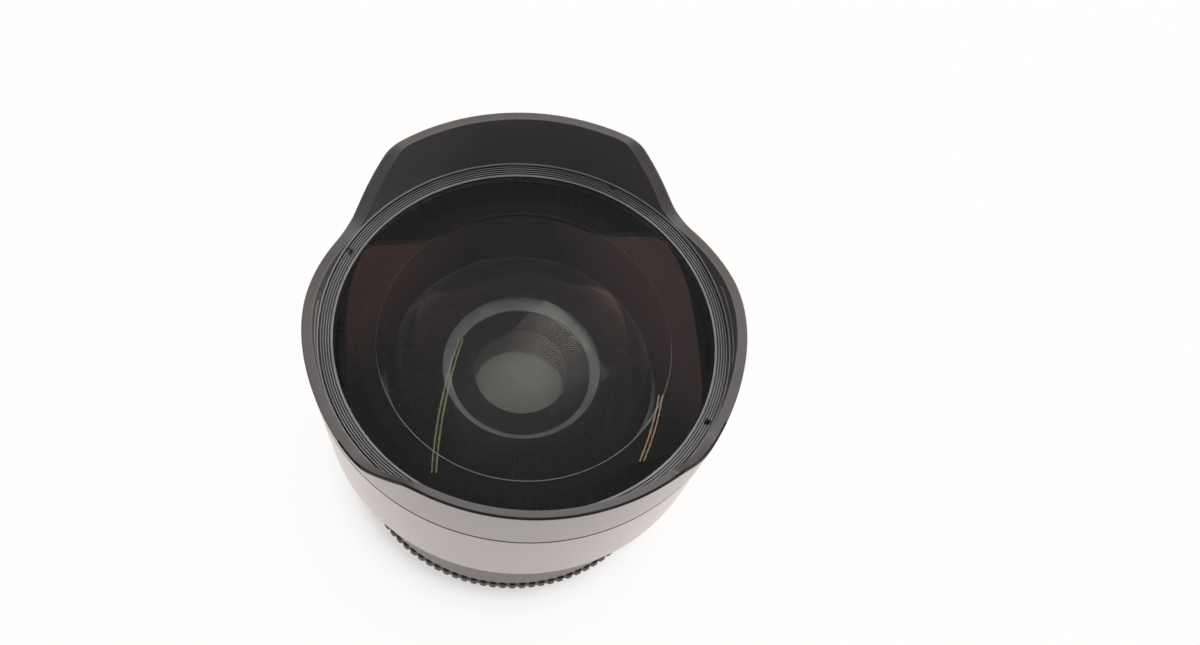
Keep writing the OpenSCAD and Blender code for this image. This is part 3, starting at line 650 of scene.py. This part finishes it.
# Barrel, with the holes for screws and lock pin
wall_in_r = edge_r - 1.9
neck_floor_z = flare_z - 0.85
ledge_top = seat_z - gasket_t - cell_t
ledge_foot = ledge_top - 3
ledge_in_r = cell_r + 0.6
barrel = turned("barrel", [
    [neck_bore_r, neck_z], [tube_r, neck_z], [tube_r, band_top_z], [neck_r, band_top_z], [neck_r, flare_z],
    [edge_r - 0.5, head_z], [edge_r, edge_z], [cone(seam_z - seam_chamfer), seam_z - seam_chamfer],
    [seam_r - seam_chamfer, seam_z], [barrel_in_r, seam_z], [barrel_in_r, skirt_z], [skirt_in_r, skirt_z],
    [skirt_in_r, ledge_top], [ledge_in_r, ledge_top], [ledge_in_r, ledge_foot], [wall_in_r, ledge_foot],
    [wall_in_r, head_z + 1.15], [neck_r - 3.4, neck_floor_z], [neck_bore_r, neck_floor_z]
], [0.1, 0.1, 0.1, 0.15, 1.2, 0.5, 0.5, 0.1, 0.1] + [0.05] * 10, 360)
cell_screw_circle_r = (cell_r + front_r + play) / 2
screw_hole, grub_hole = disc(screw_hole_r), disc(grub_hole_r)
carve(barrel, [
    bar(screw_hole, ledge_top - 2.8, ledge_top + cut_past, place)
    for place in circle_of(3, cell_screw_circle_r)
] + [
    bar(screw_hole, neck_z - cut_past, neck_z + 4, place)
    for place in circle_of(4, mount_screw_circle_r, TURN / 8)
] + [
    bar(grub_hole, -1.05, cut_past, outward(a, tube_r, grub_z)) for a in band_screw_turns
] + [
    bar(disc(pin_hole_r), neck_z - cut_past, level("lock_spring", 1) + 0.025, upright(pin_x, 0))
])
dress(barrel, "head", "satin_black", barrel_satin, replaces=["main_barrel"])

# Front ring, with its grooves and spanner notches
front_centre_z = ring_z - glass_sink - np.sqrt(front_curve_r ** 2 - glass_r ** 2)


def dome(r):
    """Height of the front glass at radius r."""
    return front_centre_z + np.sqrt(front_curve_r ** 2 - r ** 2)


groove_count, groove_margin, groove_depth = 4, 0.2, 0.3
groove_pitch = (ring_r - glass_r - 2 * groove_margin) / groove_count
groove_at = ring_r - groove_margin - np.arange(groove_count) * groove_pitch
grooves = np.stack([
    np.stack([groove_at - inset, np.full(groove_count, ring_z - depth)], 1)
    for inset, depth in ((0, 0), (0.02, groove_depth), (0.2, groove_depth), (0.24, 0))
], axis=1).reshape(-1, 2)
ring_body = [
    [glass_r, ring_z], [glass_r, dome(glass_r) + play], [front_r + play, dome(front_r) + play],
    [front_r + play, ring_low_z], [ring_r, ring_low_z], [ring_r, ring_z]
]
ring_steps = 3
ring_corners = np.concatenate([ring_body, grooves])
# The grooves' walls and floors take the darker grip_black: painted shade in the grooves
ring_bands = np.repeat([0] * len(ring_body) + [1, 1, 1, 0] * groove_count, ring_steps + ARC_EXTRA)
front_ring = lathe("grooved_ring", rounded(ring_corners, 0.03, ring_steps)[0], 360, ring_bands)
notch = np.array([[-1, -0.6], [1, -0.6], [1, 0.6], [-1, 0.6]])
carve(front_ring, [
    bar(notch, ring_low_z - cut_past, ring_z + cut_past, upright(ring_r * np.cos(a), ring_r * np.sin(a), a))
    for a in np.radians(58.7) + np.arange(4) * TURN / 4
])
dress(front_ring, "head", "ring_black", ring_black, grip_black, replaces=["front_ring"])

# Front glass: hollow, ground ring at the hollow's rim (pale towards -Y: painted highlight), flat border, edge
# and face
hollow_steps, face_steps = 60, 90
front_outline = np.concatenate([
    cap(hollow_curve_r, hollow_rim_r, seat_z, 1, hollow_steps),
    [[hollow_rim_r + 0.12, seat_z], [front_r, seat_z]],
    cap(front_curve_r, front_r, dome(front_r), 1, face_steps)[::-1]
])
front_bands = [2] * hollow_steps + [3, 1, 1] + [0] * face_steps
front_glass = lens("front_glass", front_outline, front_bands)
dress(front_glass, "head", "front_glass", front_coat, edge_black, hollow_coat, ground_edge,
      replaces=["front_element"])

# Second glass, whose face has a ground border, and its ring
second_rear_steps, second_face_steps, border_steps = 40, 80, 5
second_edge_z = second_top_z - second_curve_r + np.sqrt(second_curve_r ** 2 - second_r ** 2)
second_outline = np.concatenate([
    cap(second_hollow_r, second_rim_r, floor_z, 1, second_rear_steps), [[second_r, floor_z]],
    cap(second_curve_r, second_r, second_edge_z, 1, second_face_steps)[::-1]
])
clear_steps = second_face_steps - border_steps
second_bands = [3] * second_rear_steps + [1, 1] + [2] * border_steps + [0] * clear_steps
second_glass = lens("second_glass", second_outline, second_bands)
dress(second_glass, "head", "inner_glass", second_coat, edge_black, ground_edge, second_rear_coat,
      replaces=["second_element"])

retainer_in_r, retainer_r = second_r - 0.6, second_r + retainer_wall
retainer_foot_z = second_edge_z + 0.06
retainer = turned("second_ring", [
    [retainer_in_r, second_edge_z + 0.25], [second_r + play, retainer_foot_z],
    [retainer_r, retainer_foot_z], [retainer_r, seat_z - play], [retainer_in_r, seat_z - play]
], 0.05)
dress(retainer, "head", "cell_black", edge_black, replaces=["second_retainer"])

# Funnel-shaped ring and mask over the cemented pair
mouth_r = pair_r + 0.6
funnel = turned("funnel_ring", [
    [mouth_r, mask_top_z], [funnel_r, mask_top_z], [funnel_r, funnel_top_z], [funnel_r - 0.5, funnel_top_z],
    [mouth_r, mask_top_z + 0.3]
], 0.06)
dress(funnel, "head", "funnel_grey", funnel_grey, replaces=["pair_retainer"])
mask_in_r = pair_r - 3.6
mask = turned("pair_mask_ring", [
    [mask_in_r, pair_top_z], [funnel_r, pair_top_z], [funnel_r, mask_top_z], [mask_in_r, mask_top_z]
], 0.04)
dress(mask, "head", "mask_black", edge_black, replaces=["pair_mask"])

# Cemented pair and rear glass
inner_steps, inner_angles = 32, 192
cement_rim_r, dish_rim_r = pair_r - 0.6, pair_r - 1.1
third = lens("third_glass", np.concatenate([
    cap(cement_curve_r, cement_rim_r, pair_joint_z, 1, inner_steps),
    [[pair_r, pair_joint_z], [pair_r, pair_top_z]],
    cap(dish_curve_r, dish_rim_r, pair_top_z, -1, inner_steps)[::-1]
]), [2] * inner_steps + [1, 1, 1] + [0] * inner_steps, inner_angles)
dress(third, "head", "inner_glass", inner_coat, edge_black, inner_rear_coat, replaces=["third_element"])

cement_gap = 0.02
cement_centre_z = pair_joint_z - np.sqrt(cement_curve_r ** 2 - cement_rim_r ** 2) - cement_gap
crown_z = cement_centre_z + np.sqrt(cement_curve_r ** 2 - pair_r ** 2)
fourth = lens("fourth_glass", np.concatenate([
    cap(lower_curve_r, pair_r, pair_joint_z - lower_t, -1, inner_steps),
    cap(cement_curve_r, pair_r, crown_z, 1, inner_steps)[::-1]
]), [2] * inner_steps + [1] + [0] * inner_steps, inner_angles)
dress(fourth, "head", "inner_glass", inner_coat, edge_black, inner_rear_coat, replaces=["fourth_element"])

flat_steps = 11
rear_edge_z = rear_top_z - rear_dome_r + np.sqrt(rear_dome_r ** 2 - rear_r ** 2)
rear_flat = np.linspace([0, rear_z], [rear_r, rear_z], flat_steps + 1)
rear = lens("rear_glass", np.concatenate([
    rear_flat, cap(rear_dome_r, rear_r, rear_edge_z, 1, inner_steps)[::-1]
]), [2] * flat_steps + [1] + [0] * inner_steps, inner_angles)
dress(rear, "head", "inner_glass", inner_coat, edge_black, inner_rear_coat, replaces=["rear_element"])

# Neck band, with the holes for its grub screws and the dot
band_step_z = sleeve_top_z + 0.16
band = turned("band", [
    [band_in_r, band_z], [neck_r, band_z], [neck_r, band_top_z], [tube_r + play, band_top_z],
    [tube_r + play, band_step_z], [band_in_r, band_step_z]
], [0.05, 0.25, 0.08, 0.05, 0.05, 0.05], 360)
dot_place = outward(np.pi / 2, neck_r, level("index_dot", 0) + 0.9)
carve(band, [bar(grub_hole, -cut_past, 3, outward(a, tube_r, grub_z)) for a in band_screw_turns]
      + [bar(disc(dot_hole_r), -0.42, cut_past, dot_place)])
dress(band, "head", "satin_black", band_satin, replaces=["neck_band"])

# Lock ring: ribs whose sides ease in and out, and the sloping slot that draws the pin
rib_count, steps_per_rib = 100, 12
rib_half, rib_side = 0.42, 0.2
lock_angles = np.arange(rib_count * steps_per_rib) * TURN / (rib_count * steps_per_rib)
phase = np.abs(((lock_angles * rib_count / TURN + 0.5) % 1) - 0.5)
crest = np.clip((rib_half - phase) / rib_side, 0, 1)
crest = crest * crest * (3 - 2 * crest)
rib_out = root_r + (rib_r - root_r) * crest


def collar(r, z):
    """Corner column of the lock ring at radius r and height z for every angle."""
    return np.stack(np.broadcast_arrays(r, z, lock_angles)[:2], axis=1)


rib_in = rib_out - 0.3 * (rib_out - root_r)
rib_foot_r = root_r - 0.1
rib_ease, rib_bevel = 0.06, 0.35
lock_corners = np.stack([
    collar(lock_in_r, lock_z), collar(rib_foot_r, lock_z), collar(rib_in, lock_z + rib_ease),
    collar(rib_out, lock_z + rib_bevel), collar(rib_out, rib_top_z - rib_bevel),
    collar(rib_in, rib_top_z - rib_ease), collar(rib_foot_r, rib_top_z), collar(sleeve_r, rib_top_z),
    collar(sleeve_r, sleeve_top_z), collar(lock_in_r, sleeve_top_z)
], axis=1)
lock = lathe("ribbed_ring", rounded(lock_corners, 0.06, 2), lock_angles, crease=50)
arm_r, arm_gap, slot_r = 0.5, 0.16, 0.64
arm_z = neck_z - pin_travel - arm_r - arm_gap
half_turn = np.radians(10)
across = (lock_in_r + sleeve_r) * np.sin(half_turn)
slot_tilt, slot_half = np.arctan2(pin_travel, across), np.hypot(across, pin_travel) / 2
end_arc = np.linspace(-np.pi / 2, np.pi / 2, 17)
right_end = np.stack([slot_half + slot_r * np.cos(end_arc), slot_r * np.sin(end_arc)], 1)
slot = np.concatenate([right_end, -right_end])
lean = np.array([[np.cos(slot_tilt), -np.sin(slot_tilt)], [np.sin(slot_tilt), np.cos(slot_tilt)]])
carve(lock, [bar(slot @ lean, -cut_past, 3, outward(-half_turn, lock_in_r, arm_z + pin_travel / 2))])
dress(lock, "lock_ring", "grip_black", grip_black, replaces=["lock_ring"])

# Lock spring: a round wire in a coil about the pin
coil_turns, turn_steps, wire_steps = 6, 36, 12
wire_r = 0.13
coil_r = 0.97 - wire_r - 0.08
spring_low, spring_high = level("lock_spring", 0) + wire_r, level("lock_spring", 1) - wire_r
coil_angle = np.linspace(0, coil_turns * TURN, coil_turns * turn_steps + 1)[:, None]
wire_angle = (np.arange(wire_steps) * TURN / wire_steps)[None]
wire = coil_r + wire_r * np.cos(wire_angle)
height = np.linspace(spring_low, spring_high, len(coil_angle))[:, None] + wire_r * np.sin(wire_angle)
coil = np.stack([pin_x + wire * np.cos(coil_angle), wire * np.sin(coil_angle), height], axis=2)
i, j = np.meshgrid(np.arange(len(coil_angle) - 1), np.arange(wire_steps), indexing="ij")
j2 = (j + 1) % wire_steps
i, i2 = i * wire_steps, (i + 1) * wire_steps
wire_walls = np.stack([i + j, i2 + j, i2 + j2, i + j2], axis=2).reshape(-1, 4)
wire_ends = np.arange(wire_steps)
wire_ends = np.stack([wire_ends, (len(coil_angle) - 1) * wire_steps + wire_ends[::-1]])
spring = piece("coil_spring", coil.reshape(-1, 3), [wire_walls, wire_ends])
dress(spring, "head", "screw_steel", spring_steel, replaces=["lock_spring"])
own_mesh(spring)

# Nodes that are shown as the drawing gives them
finishes = {
    "front_seal": seal_rubber, "seat_gasket": seal_rubber, "front_cell": cell_black, "rear_cell": cell_black,
    "front_cell_screws": screw_steel, "rear_cell_screws": screw_steel, "flare_stop": mask_black,
    "rear_retainer": cell_black, "rear_baffle": mask_black, "bayonet_mount": mount_metal,
    "mount_screws": screw_steel, "band_screws": grip_black, "index_dot": dot_white,
    "thrust_washer": washer_grey, "lock_pin": screw_steel
}
for node, material in finishes.items():
    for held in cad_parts[node].material_slots:
        held.material = material

# Floor and backdrop: white to camera rays, a little less so at the foot, where the lamps' shadow has to
# show; dim and reddish far off in what shiny surfaces mirror, and off the foot in what the glass refracts
floor_paint = Finish("floor_paint", Roughness=0.9, Specular_IOR_Level=0.1)
mottle = floor_paint.noise(3, 3)
floor_paint.put("Base Color", floor_paint.tones(mottle, (0.9, 0.91, 0.92), (0.93, 0.94, 0.95)))
ray = floor_paint.add("ShaderNodeLightPath").outputs
seen = floor_paint.math("MAXIMUM", ray["Is Camera Ray"],
                        floor_paint.math("MAXIMUM", ray["Is Glossy Ray"], ray["Is Transmission Ray"]))
far_off = floor_paint.way(floor_paint.radius(), 400.0, 900.0)
off_foot = floor_paint.way(floor_paint.radius(), 50.0, 90.0)
refracted_off_foot = floor_paint.math("MULTIPLY", ray["Is Transmission Ray"], off_foot)
dimmed = floor_paint.math("MAXIMUM", far_off, refracted_off_foot)
mirrored_colour = floor_paint.shades(dimmed, (0.0, (1.0, 0.93, 0.91)), (1.0, (0.3, 0.17, 0.17)))
shown_colour = floor_paint.mixed(ray["Is Camera Ray"], mirrored_colour, (1.0, 0.99, 0.975))
white = floor_paint.add("ShaderNodeEmission", [("Color", shown_colour)], Strength=1.0)
foot_shift = (1.6, 0.6, 0)
from_foot = floor_paint.way(floor_paint.radius(foot_shift), 29.0, 47.0)
camera_share = floor_paint.shades(from_foot, (0.0, grey(0.55)), (0.1, grey(0.77)), (0.2, grey(0.88)),
                                  (0.35, grey(0.95)), (1.0, grey(0.985)))
share = floor_paint.add("ShaderNodeMix", [(0, ray["Is Camera Ray"]), (3, camera_share)], data_type="FLOAT")
share.inputs[2].default_value = 0.94
blend = floor_paint.add("ShaderNodeMixShader", [
    (0, floor_paint.math("MULTIPLY", seen, share.outputs[0])), (1, floor_paint.shader.outputs[0]),
    (2, white.outputs[0])
])
floor_paint.tree.links.new(blend.outputs[0], floor_paint.tree.nodes["Material Output"].inputs["Surface"])

floor_half, floor_cells, floor_top = 12000.0, 8, -0.02
side = np.linspace(-floor_half, floor_half, floor_cells + 1)
gx, gy = np.meshgrid(side, side, indexing="ij")
i, j = np.meshgrid(np.arange(floor_cells), np.arange(floor_cells), indexing="ij")
corner = i * (floor_cells + 1) + j
ahead = corner + floor_cells + 1
floor = piece("floor", np.stack([gx, gy, np.full_like(gx, floor_top)], 2).reshape(-1, 3),
              [np.stack([corner, ahead, ahead + 1, corner + 1], 2).reshape(-1, 4)])
floor.data.materials.append(floor_paint.material)
backdrop_r, backdrop_top, backdrop_sides = 11900.0, 1600.0, 96
ring = disc(backdrop_r, backdrop_sides)
i = np.arange(backdrop_sides)
i2 = (i + 1) % backdrop_sides
backdrop = piece("backdrop", np.concatenate([
    np.column_stack([ring, np.full(backdrop_sides, z)]) for z in (floor_top, backdrop_top)
]), [np.stack([i2, i, i + backdrop_sides, i2 + backdrop_sides], axis=1)])
backdrop.data.materials.append(floor_paint.material)

# Room, which the glass mirrors: two reddish patches low down and a grey one overhead
world = bpy.data.worlds.new("room")
bpy.context.scene.world = world
world.use_nodes = True
room = world.node_tree
heading = room.nodes.new("ShaderNodeTexCoord")


def direction(azimuth, elevation):
    """Unit vector of an azimuth, counted from +X, and an elevation, both in degrees."""
    a, e = np.radians([azimuth, elevation])
    return np.array([np.cos(e) * np.cos(a), np.cos(e) * np.sin(a), np.sin(e)])


def glow(azimuth, elevation, full, none, colour, base=(0, 0, 0)):
    """Colour of a soft round patch of the room: colour within full degrees of a direction, base beyond
    none degrees of it, and a straight change with the cosine between."""
    towards = room.nodes.new("ShaderNodeVectorMath")
    towards.operation = "DOT_PRODUCT"
    towards.inputs[1].default_value = direction(azimuth, elevation)
    shade = room.nodes.new("ShaderNodeValToRGB")
    for element, angle, tone in zip(shade.color_ramp.elements, (none, full), (base, colour)):
        element.position, element.color = np.cos(np.radians(angle)), tuple(tone) + (1,)
    room.links.new(heading.outputs["Generated"], towards.inputs[0])
    room.links.new(towards.outputs["Value"], shade.inputs["Fac"])
    return shade.outputs["Color"]


def both(a, b):
    """Sum of two colours."""
    node = room.nodes.new("ShaderNodeVectorMath")
    room.links.new(a, node.inputs[0])
    room.links.new(b, node.inputs[1])
    return node.outputs[0]


room_sides = both(glow(134, 6, 20, 40, (0.22, 0.08, 0.08)), glow(32, 6, 26, 46, (0.22, 0.1, 0.105)))
ceiling = glow(80, 83, 14, 34, (0.15, 0.15, 0.16), (0.09, 0.088, 0.09))
room.links.new(both(room_sides, ceiling), room.nodes["Background"].inputs["Color"])
room.nodes["Background"].inputs["Strength"].default_value = 1.0


def softbox(name, azimuth, elevation, distance, width, height, watts, colour, tilt=0, mirrored=True):
    """Rectangular lamp at a direction and distance in metres from the glass, turned to face it; tilt turns
    its long side from level, and mirrored says whether shiny surfaces show the lamp itself."""
    glass_z = 0.05
    lamp = bpy.data.lights.new(name, "AREA")
    lamp.shape, lamp.size, lamp.size_y, lamp.energy, lamp.color = "RECTANGLE", width, height, watts, colour
    a, t = np.radians([azimuth, tilt])
    out = direction(azimuth, elevation)
    level_side = np.array([-np.sin(a), np.cos(a), 0])
    sideways = np.cos(t) * level_side + np.sin(t) * np.cross(out, level_side)
    rows = np.column_stack([sideways, np.cross(out, sideways), out])
    obj = bpy.data.objects.new(name, lamp)
    place = Matrix(rows.tolist()).to_4x4()
    place.translation = out * distance + np.array([0, 0, glass_z])
    obj.matrix_world = place
    obj.visible_glossy = mirrored
    bpy.context.scene.collection.objects.link(obj)


# Thin tubes, which show as streaks in the glass, and two large lamps that shiny surfaces don't show
warm, pale, neutral = (1.0, 0.62, 0.38), (1.0, 0.95, 0.48), (1.0, 0.99, 0.98)
softbox("warm_tube", -15.3, 39.4, 1.17, 0.54, 0.012, 0.06, warm)
softbox("warm_tube_pair", -15.7, 40.8, 1.17, 0.54, 0.012, 0.06, warm)
softbox("pale_tube", 192.5, 62.6, 1.17, 1.15, 0.012, 0.075, pale, tilt=-30)
softbox("pale_tube_pair", 190.7, 61.4, 1.17, 1.15, 0.012, 0.075, pale, tilt=-29)
softbox("overhead", 40, 62, 1.6, 1.3, 1.3, 30, neutral, mirrored=False)
softbox("fill", 200, 76, 1.6, 1.3, 1.3, 10, neutral, mirrored=False)

# Camera, fitted to the circles of the photo: focal length in photo pixels, its axes and its place
focal_px, photo_px, sensor = 1669.9632, 1200, 36.0
camera = bpy.data.cameras.new("camera")
camera.sensor_fit, camera.sensor_width, camera.lens = "HORIZONTAL", sensor, focal_px * sensor / photo_px
camera.clip_start, camera.clip_end = 0.01, 50
eye = bpy.data.objects.new("camera", camera)
place = Matrix(np.column_stack([
    [0.98949581, -0.09897507, 0.10536597], [0.0359336, 0.87438663, 0.48389751],
    [-0.14002438, -0.47502837, 0.86875843]
]).tolist()).to_4x4()
place.translation = (-0.02841985, -0.14009349, 0.3073839)
eye.matrix_world = place
bpy.context.scene.collection.objects.link(eye)
bpy.context.scene.camera = eye
bpy.context.scene.view_settings.view_transform = "Standard"

bpy.context.view_layer.update()
